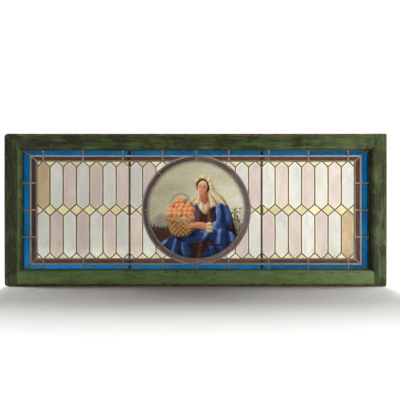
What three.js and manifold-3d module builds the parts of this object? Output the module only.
// A leaded stained glass window in a painted wooden sash, in millimetres.
// X runs along the width, Y from the room side (front) to the back, and +Z is up.
// The origin is the middle of the sash's bottom edge.

import * as THREE from "three";
import { mergeVertices } from "three/addons/utils/BufferGeometryUtils.js";
import Module from "manifold-3d";

const wasm = await Module();
wasm.setup();

// ---- Sash ----------------------------------------------------------------------------------
const SASH_WIDTH = 1524;
const SASH_HEIGHT = 608;
const SASH_DEPTH = 44;
const STILE_FACE = 51;
const TOP_FACE = 51;
const BOTTOM_FACE = 55;
const MOULDING_WIDTH = 10;
const MOULDING_DEPTH = 11;
const MOULDING_QUIRK = 1.5;
const MOULDING_STEPS = 3;
const LIP_DEPTH = 25;
const ARRIS = 1.5;
const CORNER_WEAR = 3;

// ---- Leaded panel --------------------------------------------------------------------------
const TOUCH_GAP = 0.3;
const PUTTY_GAP = 3;
const CAME_HEIGHT = 6;
const GLASS_THICKNESS = 3;
const HEART = 1.4;
const FIELD_CAME = 4.2;
const BORDER_CAME = 6.8;
const RING_CAME = 5.4;
const LEAF_EDGE = 9;

const FIELD_HALF_WIDTH = 645;
const FIELD_HALF_HEIGHT = 199;
const PURPLE_HALF_WIDTH = 669;
const PURPLE_HALF_HEIGHT = 219;
const COLUMNS = 24;
const TIP_DROP = 1;
const TIP_RISE = 24;
const BASE_LAP = 4;
const RING_SHIFT = 3;
const RING_PANES = 8;
const ROUND_SIDES = 40;
const CUT_COLUMNS = 10;
const BORDER_TIP_COLUMNS = [0, 3, 6, 9, 14, 17, 20, 23];
const SIDE_PANES = 4;
const STRIP_WIDTH = 1.4;
const STRIP_REACH = 12;
const STRIP_RING_END = 99;

// ---- Beads and saddle bars -----------------------------------------------------------------
const BEAD_WIDTH = 10;
const BEAD_BEVEL = 5;
const BAR_DIAMETER = 8;
const BAR_SIDES = 8;
const BAR_BOUNDARIES = [7, 17];
const BAR_END_GAP = 1;

// ---- Worked-out places ---------------------------------------------------------------------
const FRONT = -SASH_DEPTH / 2;
const BACK = SASH_DEPTH / 2;
const REBATE_FACE = FRONT + LIP_DEPTH;
const PANEL_FRONT = REBATE_FACE + TOUCH_GAP;
const PANEL_MIDDLE = PANEL_FRONT + CAME_HEIGHT / 2;
const PANEL_BACK = PANEL_FRONT + CAME_HEIGHT;
const BEAD_FRONT = PANEL_BACK + TOUCH_GAP;
const REBATE_HALF_WIDTH = SASH_WIDTH / 2 - STILE_FACE;
const REBATE_BOTTOM = BOTTOM_FACE;
const REBATE_TOP = SASH_HEIGHT - TOP_FACE;
const PANEL_Z = (REBATE_BOTTOM + REBATE_TOP) / 2;
const PANEL_HALF_WIDTH = REBATE_HALF_WIDTH - PUTTY_GAP;
const PANEL_HALF_HEIGHT = (REBATE_TOP - REBATE_BOTTOM) / 2 - PUTTY_GAP;
const LIGHT_HALF_WIDTH = PANEL_HALF_WIDTH - LEAF_EDGE;
const LIGHT_HALF_HEIGHT = PANEL_HALF_HEIGHT - LEAF_EDGE;
const PITCH = (2 * FIELD_HALF_WIDTH) / COLUMNS;
const TIP_HEIGHT = FIELD_HALF_HEIGHT - TIP_DROP;
const RING_OUTER = PURPLE_HALF_HEIGHT;
const RING_INNER = FIELD_HALF_HEIGHT;
const GLASS_INSET = HEART / 2 + TOUCH_GAP;
const POCKET_INSET = HEART / 2;
const PLAIN_INSET = FIELD_CAME / 2 + TOUCH_GAP;
const POCKET_THICKNESS = GLASS_THICKNESS + 2 * TOUCH_GAP;
const WIDE_INSET = BORDER_CAME / 2;

const FINISHES = {
  paint: new THREE.MeshStandardMaterial({ color: 0x39452b, roughness: 0.6, metalness: 0 }),
  lead: new THREE.MeshStandardMaterial({ color: 0x6b6150, roughness: 0.55, metalness: 0.7 }),
  steel: new THREE.MeshStandardMaterial({ color: 0x2c2823, roughness: 0.5, metalness: 0.8 }),
  blue: new THREE.MeshStandardMaterial({ color: 0x146ca8, roughness: 0.15, metalness: 0 }),
  purple: new THREE.MeshStandardMaterial({ color: 0x5b4648, roughness: 0.15, metalness: 0 }),
  yellow: new THREE.MeshStandardMaterial({ color: 0xbdb384, roughness: 0.15, metalness: 0 }),
  pink: new THREE.MeshStandardMaterial({ color: 0xd6c4ba, roughness: 0.2, metalness: 0 }),
  white: new THREE.MeshStandardMaterial({ color: 0xd8d4c6, roughness: 0.2, metalness: 0 }),
  amber: new THREE.MeshStandardMaterial({ color: 0xc0a274, roughness: 0.2, metalness: 0 }),
  painted: new THREE.MeshStandardMaterial({ color: 0x8c8a80, roughness: 0.25, metalness: 0 }),
};

// ---- Plane geometry: a point is [x, z] about the panel's centre, polygons run anticlockwise --

/** The bounds of a box as an anticlockwise polygon. */
function rectangle(left, bottom, right, top) {
  return [[left, bottom], [right, bottom], [right, top], [left, top]];
}

/** A regular polygon that touches a circle of the given radius with its corners. */
function circle(radius, centreX = 0, sides = ROUND_SIDES) {
  return arc(radius, 0, 2 * Math.PI, sides, centreX).slice(0, sides);
}

/** Points along an arc, both ends included. */
function arc(radius, start, end, steps, centreX = 0) {
  return Array.from({ length: steps + 1 }, (_, i) => {
    const angle = start + ((end - start) * i) / steps;
    return [centreX + radius * Math.cos(angle), radius * Math.sin(angle)];
  });
}

/** Moves each side of a convex polygon inwards by a distance. */
function inset(polygon, distance) {
  const sides = polygon.map(([x, z], i) => {
    const [nextX, nextZ] = polygon[(i + 1) % polygon.length];
    const length = Math.hypot(nextX - x, nextZ - z);
    const normal = [-(nextZ - z) / length, (nextX - x) / length];
    return { normal, offset: normal[0] * x + normal[1] * z + distance };
  });
  return sides.map((side, i) => {
    const before = sides[(i + sides.length - 1) % sides.length];
    const [a, b] = before.normal;
    const [c, d] = side.normal;
    const determinant = a * d - b * c;
    const x = (before.offset * d - b * side.offset) / determinant;
    const z = (a * side.offset - before.offset * c) / determinant;
    return [x, z];
  });
}

/** Extrudes polygons of the panel's plane through Y, centred on the glass. */
function plates(polygons, thickness) {
  const shapes = polygons.map((polygon) => {
    return new THREE.Shape(polygon.map(([x, z]) => new THREE.Vector2(x, z)));
  });
  const geometry = new THREE.ExtrudeGeometry(shapes, { depth: thickness, bevelEnabled: false });
  geometry.rotateX(Math.PI / 2);
  geometry.translate(0, PANEL_MIDDLE + thickness / 2, PANEL_Z);
  return geometry;
}

// ---- Solids --------------------------------------------------------------------------------

/** Turns a closed three.js geometry into a manifold solid. */
function solid(geometry) {
  const bare = geometry.clone();
  bare.deleteAttribute("normal");
  bare.deleteAttribute("uv");
  const merged = mergeVertices(bare, 1e-4);
  const vertProperties = new Float32Array(merged.attributes.position.array);
  const triVerts = new Uint32Array(merged.index.array);
  return new wasm.Manifold(new wasm.Mesh({ numProp: 3, vertProperties, triVerts }));
}

/** Turns a manifold solid back into a three.js geometry. */
function geometryOf(body) {
  const { vertProperties, triVerts } = body.getMesh();
  const geometry = new THREE.BufferGeometry();
  geometry.setAttribute("position", new THREE.BufferAttribute(vertProperties, 3));
  geometry.setIndex(new THREE.BufferAttribute(triVerts, 1));
  const flat = geometry.toNonIndexed();
  flat.computeVertexNormals();
  return flat;
}

/** A solid of plates cut from the panel's plane. */
function plateSolid(polygons, thickness) {
  return solid(plates(polygons, thickness));
}

/** A box solid from its lowest to its highest corner. */
function boxSolid([x0, y0, z0], [x1, y1, z1]) {
  const geometry = new THREE.BoxGeometry(x1 - x0, y1 - y0, z1 - z0);
  geometry.translate((x0 + x1) / 2, (y0 + y1) / 2, (z0 + z1) / 2);
  return solid(geometry);
}

const windowGroup = new THREE.Group();

/** Adds a solid or a geometry to the window as a named piece. */
function addPiece(name, shape, finish) {
  const geometry = shape.isBufferGeometry ? shape : geometryOf(shape);
  const mesh = new THREE.Mesh(geometry, FINISHES[finish].clone());
  mesh.name = name;
  windowGroup.add(mesh);
}

// ---- Cells: each pane's outline along the centre lines of the cames around it -----------------

const boundaryX = (i) => -FIELD_HALF_WIDTH + PITCH * i;
const tipX = (k) => boundaryX(k + 0.5);

/** The long hexagon of one column, in the upper row (side 1) or the lower row (side -1). */
function hexagonCell(column, side) {
  const left = boundaryX(column);
  const right = boundaryX(column + 1);
  const shoulder = TIP_HEIGHT - TIP_RISE;
  const points = [
    [tipX(column), 0],
    [right, TIP_RISE],
    [right, shoulder],
    [tipX(column), TIP_HEIGHT],
    [left, shoulder],
    [left, TIP_RISE],
  ];
  return side > 0 ? points : points.map(([x, z]) => [x, -z]).reverse();
}

/** The diamond centred on a column boundary, or half of it at the ends of the field. */
function diamondCell(boundary) {
  const x = boundaryX(boundary);
  const left = [Math.max(x - PITCH / 2, -FIELD_HALF_WIDTH), 0];
  const right = [Math.min(x + PITCH / 2, FIELD_HALF_WIDTH), 0];
  const top = [x, TIP_RISE];
  const bottom = [x, -TIP_RISE];
  const corners = [bottom, right, top, left];
  return corners.filter((corner) => corner === top || corner === bottom || corner[0] !== x);
}

/** The triangle between two tips at the top (side 1) or bottom (side -1), run on past the tips. */
function triangleCell(boundary, side) {
  const x = boundaryX(boundary);
  const rise = TIP_RISE + BASE_LAP;
  const halfBase = (PITCH / 2) * (rise / TIP_RISE);
  const foot = TIP_HEIGHT - TIP_RISE;
  const points = [
    [x, foot],
    [Math.min(x + halfBase, FIELD_HALF_WIDTH), foot + rise],
    [Math.max(x - halfBase, -FIELD_HALF_WIDTH), foot + rise],
  ];
  return side > 0 ? points : points.map(([px, z]) => [px, -z]).reverse();
}

/** Where the border's crossing cames stand along the top and bottom strips. */
const crossingX = [...BORDER_TIP_COLUMNS.map(tipX), RING_SHIFT].sort((a, b) => a - b);

/** The panes of one border strip between an inner and an outer rectangle of half sizes. */
function borderCells(inner, outer) {
  const [innerX, innerZ] = inner;
  const [outerX, outerZ] = outer;
  const level = [-innerX, ...crossingX, innerX];
  const cells = [];
  for (let i = 0; i < level.length - 1; i++) {
    const first = i === 0 ? -outerX : level[i];
    const last = i === level.length - 2 ? outerX : level[i + 1];
    const top = [[level[i], innerZ], [level[i + 1], innerZ], [last, outerZ], [first, outerZ]];
    cells.push(top, top.map(([x, z]) => [x, -z]).reverse());
  }
  const sideStep = (2 * PURPLE_HALF_HEIGHT) / SIDE_PANES;
  for (let i = 0; i < SIDE_PANES; i++) {
    const low = -PURPLE_HALF_HEIGHT + sideStep * i;
    const high = low + sideStep;
    const atFoot = i === 0;
    const atHead = i === SIDE_PANES - 1;
    const right = [
      [innerX, atFoot ? -innerZ : low],
      [outerX, atFoot ? -outerZ : low],
      [outerX, atHead ? outerZ : high],
      [innerX, atHead ? innerZ : high],
    ];
    cells.push(right, right.map(([x, z]) => [-x, z]).reverse());
  }
  return cells;
}

/** The visible part of one ring pane, clear of the cames around it. */
function ringLight(index) {
  const step = (2 * Math.PI) / RING_PANES;
  const inner = RING_INNER + RING_CAME / 2;
  const outer = RING_OUTER - RING_CAME / 2;
  const sides = ROUND_SIDES / RING_PANES;
  const trim = (radius) => Math.asin(RING_CAME / 2 / radius);
  const start = step * index;
  const end = start + step;
  const outside = arc(outer, start + trim(outer), end - trim(outer), sides, RING_SHIFT);
  const inside = arc(inner, start + trim(inner), end - trim(inner), sides, RING_SHIFT);
  return [...outside, ...inside.reverse()];
}

const fieldRectangle = (marginX, marginZ = marginX) => {
  const x = FIELD_HALF_WIDTH - marginX;
  const z = FIELD_HALF_HEIGHT - marginZ;
  return rectangle(-x, -z, x, z);
};
const purpleInner = [FIELD_HALF_WIDTH, FIELD_HALF_HEIGHT];
const purpleOuter = [PURPLE_HALF_WIDTH, PURPLE_HALF_HEIGHT];
const blueOuter = [LIGHT_HALF_WIDTH, LIGHT_HALF_HEIGHT];

// The wide border cames and the perimeter lead lap further over the glass than the field's do.
const widenBy = WIDE_INSET - FIELD_CAME / 2;
const purpleLights = borderCells(
  [purpleInner[0] + widenBy, purpleInner[1] + widenBy],
  [purpleOuter[0] - widenBy, purpleOuter[1] - widenBy],
).map((cell) => inset(cell, FIELD_CAME / 2));
const blueLights = borderCells(
  [purpleOuter[0] + widenBy, purpleOuter[1] + widenBy],
  [blueOuter[0] + FIELD_CAME / 2, blueOuter[1] + FIELD_CAME / 2],
).map((cell) => inset(cell, FIELD_CAME / 2));

const hexagons = [];
for (const side of [1, -1]) {
  for (let column = 0; column < COLUMNS; column++) {
    const middle = column >= CUT_COLUMNS && column < COLUMNS - CUT_COLUMNS;
    if (!middle) {
      hexagons.push({ column, side, cell: hexagonCell(column, side) });
    }
  }
}

/** The yellow cells of one chain: row 1 is the top, 0 the middle and -1 the bottom. */
function yellowCells(row, half) {
  const last = row === 0 ? CUT_COLUMNS - 2 : CUT_COLUMNS;
  const boundaries = Array.from({ length: last + 1 }, (_, i) => (half < 0 ? i : COLUMNS - i));
  return boundaries.map((i) => (row === 0 ? diamondCell(i) : triangleCell(i, row)));
}

/** The narrow strip that joins a chain's panes through the leads between them. */
function yellowStrip(row, half, margin) {
  const z = row * (FIELD_HALF_HEIGHT - WIDE_INSET + STRIP_WIDTH / 2 + TOUCH_GAP);
  const width = STRIP_WIDTH / 2 + margin;
  const edge = FIELD_HALF_WIDTH - WIDE_INSET - TOUCH_GAP + margin;
  const middleEnd = -tipX(CUT_COLUMNS - 3) - STRIP_REACH;
  const ringEnd = STRIP_RING_END + half * RING_SHIFT;
  const inner = (row === 0 ? middleEnd : ringEnd) - margin;
  return half < 0
    ? rectangle(-edge, z - width, -inner, z + width)
    : rectangle(inner, z - width, edge, z + width);
}

// ---- Lead cames ------------------------------------------------------------------------------

const through = CAME_HEIGHT + 2;
const roundHole = (radius) => plateSolid([circle(radius, RING_SHIFT)], through);
const fieldLights = [
  ...hexagons.map(({ cell }) => cell),
  ...Array.from({ length: COLUMNS + 1 }, (_, i) => diamondCell(i)),
  ...Array.from({ length: COLUMNS + 1 }, (_, i) => triangleCell(i, 1)),
  ...Array.from({ length: COLUMNS + 1 }, (_, i) => triangleCell(i, -1)),
].map((cell) => inset(cell, FIELD_CAME / 2));
const ringLights = Array.from({ length: RING_PANES }, (_, i) => ringLight(i));

const squareLights = plateSolid(fieldLights, through)
  .intersect(plateSolid([fieldRectangle(WIDE_INSET)], through))
  .add(plateSolid(purpleLights, through))
  .subtract(roundHole(RING_OUTER + RING_CAME / 2));
const allLights = squareLights
  .add(plateSolid(blueLights, through))
  .add(plateSolid(ringLights, through))
  .add(roundHole(RING_INNER - RING_CAME / 2));

/** A flat frame between two rectangles of half sizes, as a solid. */
function flatFrame(inner, outer, thickness) {
  const outside = plateSolid([rectangle(-outer[0], -outer[1], outer[0], outer[1])], thickness);
  const inside = rectangle(-inner[0], -inner[1], inner[0], inner[1]);
  return outside.subtract(plateSolid([inside], thickness + 1));
}

/** The purple glass, or the groove that it sits in, at an inset from the came centre lines. */
function purpleBody(margin, thickness) {
  const grow = ([x, z], by) => [x + by, z + by];
  const ring = plateSolid([circle(RING_OUTER - margin, RING_SHIFT)], thickness);
  const hole = plateSolid([circle(RING_INNER + margin, RING_SHIFT)], thickness + 1);
  const strip = flatFrame(grow(purpleInner, margin), grow(purpleOuter, -margin), thickness);
  return strip.add(ring).subtract(hole);
}

/** The blue glass, or the groove that it sits in, at an inset from the came centre lines. */
function blueBody(margin, thickness) {
  const inner = [PURPLE_HALF_WIDTH + margin, PURPLE_HALF_HEIGHT + margin];
  const lap = LEAF_EDGE / 2 - margin;
  return flatFrame(inner, [LIGHT_HALF_WIDTH + lap, LIGHT_HALF_HEIGHT + lap], thickness);
}

const YELLOW_CHAINS = [
  { name: "yellow_top_left", row: 1, half: -1 },
  { name: "yellow_top_right", row: 1, half: 1 },
  { name: "yellow_middle_left", row: 0, half: -1 },
  { name: "yellow_middle_right", row: 0, half: 1 },
  { name: "yellow_bottom_left", row: -1, half: -1 },
  { name: "yellow_bottom_right", row: -1, half: 1 },
];
const stripSlots = YELLOW_CHAINS.map(({ row, half }) => yellowStrip(row, half, TOUCH_GAP));

const panelOutline = rectangle(
  -PANEL_HALF_WIDTH,
  -PANEL_HALF_HEIGHT,
  PANEL_HALF_WIDTH,
  PANEL_HALF_HEIGHT,
);
const leadCames = plateSolid([panelOutline], CAME_HEIGHT)
  .subtract(allLights)
  .subtract(purpleBody(POCKET_INSET, POCKET_THICKNESS))
  .subtract(blueBody(POCKET_INSET, POCKET_THICKNESS))
  .subtract(plateSolid([circle(RING_INNER - POCKET_INSET, RING_SHIFT)], POCKET_THICKNESS))
  .subtract(plateSolid(stripSlots, POCKET_THICKNESS));
addPiece("lead_cames", leadCames, "lead");

// ---- Glass -----------------------------------------------------------------------------------

addPiece("purple_glass", purpleBody(GLASS_INSET, GLASS_THICKNESS), "purple");
addPiece("blue_glass", blueBody(GLASS_INSET, GLASS_THICKNESS), "blue");
addPiece(
  "painted_roundel",
  plates([circle(RING_INNER - GLASS_INSET, RING_SHIFT)], GLASS_THICKNESS),
  "painted",
);

const glassMargin = WIDE_INSET + TOUCH_GAP;
const stripEdge = WIDE_INSET - STRIP_WIDTH - TOUCH_GAP;
const yellowField = plateSolid([fieldRectangle(glassMargin, stripEdge)], through);
const paneField = plateSolid([fieldRectangle(glassMargin)], through);
const ringClearance = roundHole(RING_OUTER + RING_CAME / 2 + TOUCH_GAP);

/** A large pane's colour: pink and white alternate, with an old amber repair at either end. */
function paneFinish(column, side) {
  const repaired = side > 0 ? column === 0 : column === COLUMNS - 1;
  if (repaired) {
    return "amber";
  }
  const pinkColumn = column % 2 === (side > 0 ? 0 : 1);
  return pinkColumn ? "pink" : "white";
}

for (const { column, side, cell } of hexagons) {
  const row = side > 0 ? "upper" : "lower";
  const name = `pane_${row}_${String(column).padStart(2, "0")}`;
  const pane = plateSolid([inset(cell, PLAIN_INSET)], GLASS_THICKNESS)
    .intersect(paneField)
    .subtract(ringClearance);
  addPiece(name, pane, paneFinish(column, side));
}

for (const { name, row, half } of YELLOW_CHAINS) {
  const cells = yellowCells(row, half).map((cell) => inset(cell, PLAIN_INSET));
  const chain = plateSolid(cells, GLASS_THICKNESS)
    .intersect(yellowField)
    .add(plateSolid([yellowStrip(row, half, 0)], GLASS_THICKNESS))
    .subtract(ringClearance);
  addPiece(name, chain, "yellow");
}

// ---- Sash members ----------------------------------------------------------------------------

/** A member's section as [distance in from the outer edge, Y]. */
function memberSection(face) {
  const sight = face + MOULDING_WIDTH;
  const quirk = FRONT + MOULDING_QUIRK;
  const ovolo = Array.from({ length: MOULDING_STEPS + 1 }, (_, i) => {
    const angle = (Math.PI / 2) * (i / MOULDING_STEPS);
    const across = face + MOULDING_WIDTH * Math.sin(angle);
    return [across, quirk + (MOULDING_DEPTH - MOULDING_QUIRK) * (1 - Math.cos(angle))];
  });
  return [
    [0, FRONT + ARRIS],
    [ARRIS, FRONT],
    [face, FRONT],
    ...ovolo,
    [sight, REBATE_FACE],
    [face, REBATE_FACE],
    [face, BACK],
    [ARRIS, BACK],
    [0, BACK - ARRIS],
  ];
}

/** A bead's section as [distance in from the outer edge, Y]. */
function beadSection(face) {
  const inner = face + BEAD_WIDTH;
  const outer = face + TOUCH_GAP;
  return [
    [outer, BEAD_FRONT],
    [inner, BEAD_FRONT],
    [inner, BACK - BEAD_BEVEL],
    [inner - BEAD_BEVEL, BACK - 1],
    [outer, BACK - 1],
  ];
}

/** Runs a section along the inside of one edge of the sash, past both of its ends. */
function runAlong(section, edge) {
  const shape = new THREE.Shape(section.map(([across, y]) => new THREE.Vector2(across, y)));
  const reach = SASH_WIDTH + 2 * STILE_FACE;
  const geometry = new THREE.ExtrudeGeometry(shape, { depth: reach, bevelEnabled: false });
  geometry.translate(0, 0, -reach / 2);
  if (edge === "left" || edge === "right") {
    geometry.translate(-SASH_WIDTH / 2, 0, SASH_HEIGHT / 2);
    if (edge === "right") {
      geometry.rotateZ(Math.PI);
      geometry.scale(1, -1, 1);
      flipFaces(geometry);
    }
  } else {
    geometry.rotateY(-Math.PI / 2);
    if (edge === "top") {
      geometry.scale(1, 1, -1);
      flipFaces(geometry);
      geometry.translate(0, 0, SASH_HEIGHT);
    }
  }
  return solid(geometry);
}

/** Turns every face over, after a mirroring has turned them inside out. */
function flipFaces(geometry) {
  const positions = geometry.attributes.position;
  const corner = new THREE.Vector3();
  const other = new THREE.Vector3();
  for (let i = 0; i < positions.count; i += 3) {
    corner.fromBufferAttribute(positions, i);
    other.fromBufferAttribute(positions, i + 2);
    positions.setXYZ(i, other.x, other.y, other.z);
    positions.setXYZ(i + 2, corner.x, corner.y, corner.z);
  }
}

/** A plan through the whole depth of the sash, from [x, z] points in the window's own frame. */
function planSolid(points) {
  const shape = new THREE.Shape(points.map(([x, z]) => new THREE.Vector2(x, z)));
  const depth = SASH_DEPTH + 2;
  const geometry = new THREE.ExtrudeGeometry(shape, { depth, bevelEnabled: false });
  geometry.rotateX(Math.PI / 2);
  geometry.translate(0, depth / 2, 0);
  return solid(geometry);
}

const mirrorX = (points) => points.map(([x, z]) => [-x, z]).reverse();
const HALF_GAP = TOUCH_GAP / 2;
const shoulderX = REBATE_HALF_WIDTH;
const sightX = shoulderX - MOULDING_WIDTH;
const topSight = REBATE_TOP - MOULDING_WIDTH;
const bottomSight = REBATE_BOTTOM + MOULDING_WIDTH;

// A stile runs full height with worn corners. Its moulding is mitred into the rails' moulding.
const stilePlan = [
  [-SASH_WIDTH / 2, CORNER_WEAR],
  [-SASH_WIDTH / 2 + CORNER_WEAR, 0],
  [-shoulderX - HALF_GAP, 0],
  [-shoulderX - HALF_GAP, REBATE_BOTTOM],
  [-sightX - HALF_GAP, bottomSight],
  [-sightX - HALF_GAP + MOULDING_WIDTH, bottomSight + MOULDING_WIDTH],
  [-sightX - HALF_GAP + MOULDING_WIDTH, topSight - MOULDING_WIDTH],
  [-sightX - HALF_GAP, topSight],
  [-shoulderX - HALF_GAP, REBATE_TOP],
  [-shoulderX - HALF_GAP, SASH_HEIGHT],
  [-SASH_WIDTH / 2 + CORNER_WEAR, SASH_HEIGHT],
  [-SASH_WIDTH / 2, SASH_HEIGHT - CORNER_WEAR],
];
const railEnd = shoulderX - HALF_GAP;
const topPlan = [
  [-railEnd, SASH_HEIGHT + 1],
  [-railEnd, REBATE_TOP],
  [-railEnd + 2 * MOULDING_WIDTH, REBATE_TOP - 2 * MOULDING_WIDTH],
  [railEnd - 2 * MOULDING_WIDTH, REBATE_TOP - 2 * MOULDING_WIDTH],
  [railEnd, REBATE_TOP],
  [railEnd, SASH_HEIGHT + 1],
];
const bottomPlan = [
  [-railEnd, -1],
  [railEnd, -1],
  [railEnd, REBATE_BOTTOM],
  [railEnd - 2 * MOULDING_WIDTH, REBATE_BOTTOM + 2 * MOULDING_WIDTH],
  [-railEnd + 2 * MOULDING_WIDTH, REBATE_BOTTOM + 2 * MOULDING_WIDTH],
  [-railEnd, REBATE_BOTTOM],
];
const stile = memberSection(STILE_FACE);
addPiece("left_stile", runAlong(stile, "left").intersect(planSolid(stilePlan)), "paint");
addPiece("right_stile", runAlong(stile, "right").intersect(planSolid(mirrorX(stilePlan))), "paint");
addPiece(
  "top_rail",
  runAlong(memberSection(TOP_FACE), "top").intersect(planSolid(topPlan)),
  "paint",
);
addPiece(
  "bottom_rail",
  runAlong(memberSection(BOTTOM_FACE), "bottom").intersect(planSolid(bottomPlan)),
  "paint",
);

// ---- Saddle bars -------------------------------------------------------------------------------

const barY = BEAD_FRONT + BAR_DIAMETER / 2;
const barBottom = REBATE_BOTTOM + BAR_END_GAP;
const barTop = REBATE_TOP - BAR_END_GAP;

/** An upright bar behind the panel, centred on a column boundary. */
function saddleBar(boundary, radius, bottom, top) {
  const geometry = new THREE.CylinderGeometry(radius, radius, top - bottom, BAR_SIDES);
  geometry.rotateX(Math.PI / 2);
  geometry.translate(boundaryX(boundary), barY, (top + bottom) / 2);
  return geometry;
}

const [leftBar, rightBar] = BAR_BOUNDARIES;
const barRadius = BAR_DIAMETER / 2;
addPiece("saddle_bar_left", saddleBar(leftBar, barRadius, barBottom, barTop), "steel");
addPiece("saddle_bar_right", saddleBar(rightBar, barRadius, barBottom, barTop), "steel");

// ---- Glazing beads -----------------------------------------------------------------------------

const notchReach = barRadius + TOUCH_GAP;
const barNotches = BAR_BOUNDARIES.map((boundary) => {
  const x = boundaryX(boundary);
  const low = [x - notchReach, BEAD_FRONT - 1, REBATE_BOTTOM - 1];
  const high = [x + notchReach, barY + notchReach, REBATE_TOP + 1];
  return boxSolid(low, high);
});
const beadReach = 2 * BEAD_WIDTH;
const beadLeftPlan = [
  [-shoulderX, REBATE_BOTTOM + HALF_GAP],
  [-shoulderX + beadReach, REBATE_BOTTOM + beadReach + HALF_GAP],
  [-shoulderX + beadReach, REBATE_TOP - beadReach - HALF_GAP],
  [-shoulderX, REBATE_TOP - HALF_GAP],
];
const beadTopPlan = [
  [-shoulderX + HALF_GAP, REBATE_TOP],
  [-shoulderX + HALF_GAP + beadReach, REBATE_TOP - beadReach],
  [shoulderX - HALF_GAP - beadReach, REBATE_TOP - beadReach],
  [shoulderX - HALF_GAP, REBATE_TOP],
];
const beadBottomPlan = [
  [-shoulderX + HALF_GAP, REBATE_BOTTOM],
  [shoulderX - HALF_GAP, REBATE_BOTTOM],
  [shoulderX - HALF_GAP - beadReach, REBATE_BOTTOM + beadReach],
  [-shoulderX + HALF_GAP + beadReach, REBATE_BOTTOM + beadReach],
];
const [leftNotch, rightNotch] = barNotches;

/** A glazing bead along one edge, mitred to its neighbours by its plan. */
function bead(face, edge, plan) {
  return runAlong(beadSection(face), edge).intersect(planSolid(plan));
}

addPiece("bead_left", bead(STILE_FACE, "left", beadLeftPlan), "paint");
addPiece("bead_right", bead(STILE_FACE, "right", mirrorX(beadLeftPlan)), "paint");
const topBead = bead(TOP_FACE, "top", beadTopPlan);
addPiece("bead_top", topBead.subtract(leftNotch).subtract(rightNotch), "paint");
const bottomBead = bead(BOTTOM_FACE, "bottom", beadBottomPlan);
addPiece("bead_bottom", bottomBead.subtract(leftNotch).subtract(rightNotch), "paint");

export default windowGroup;
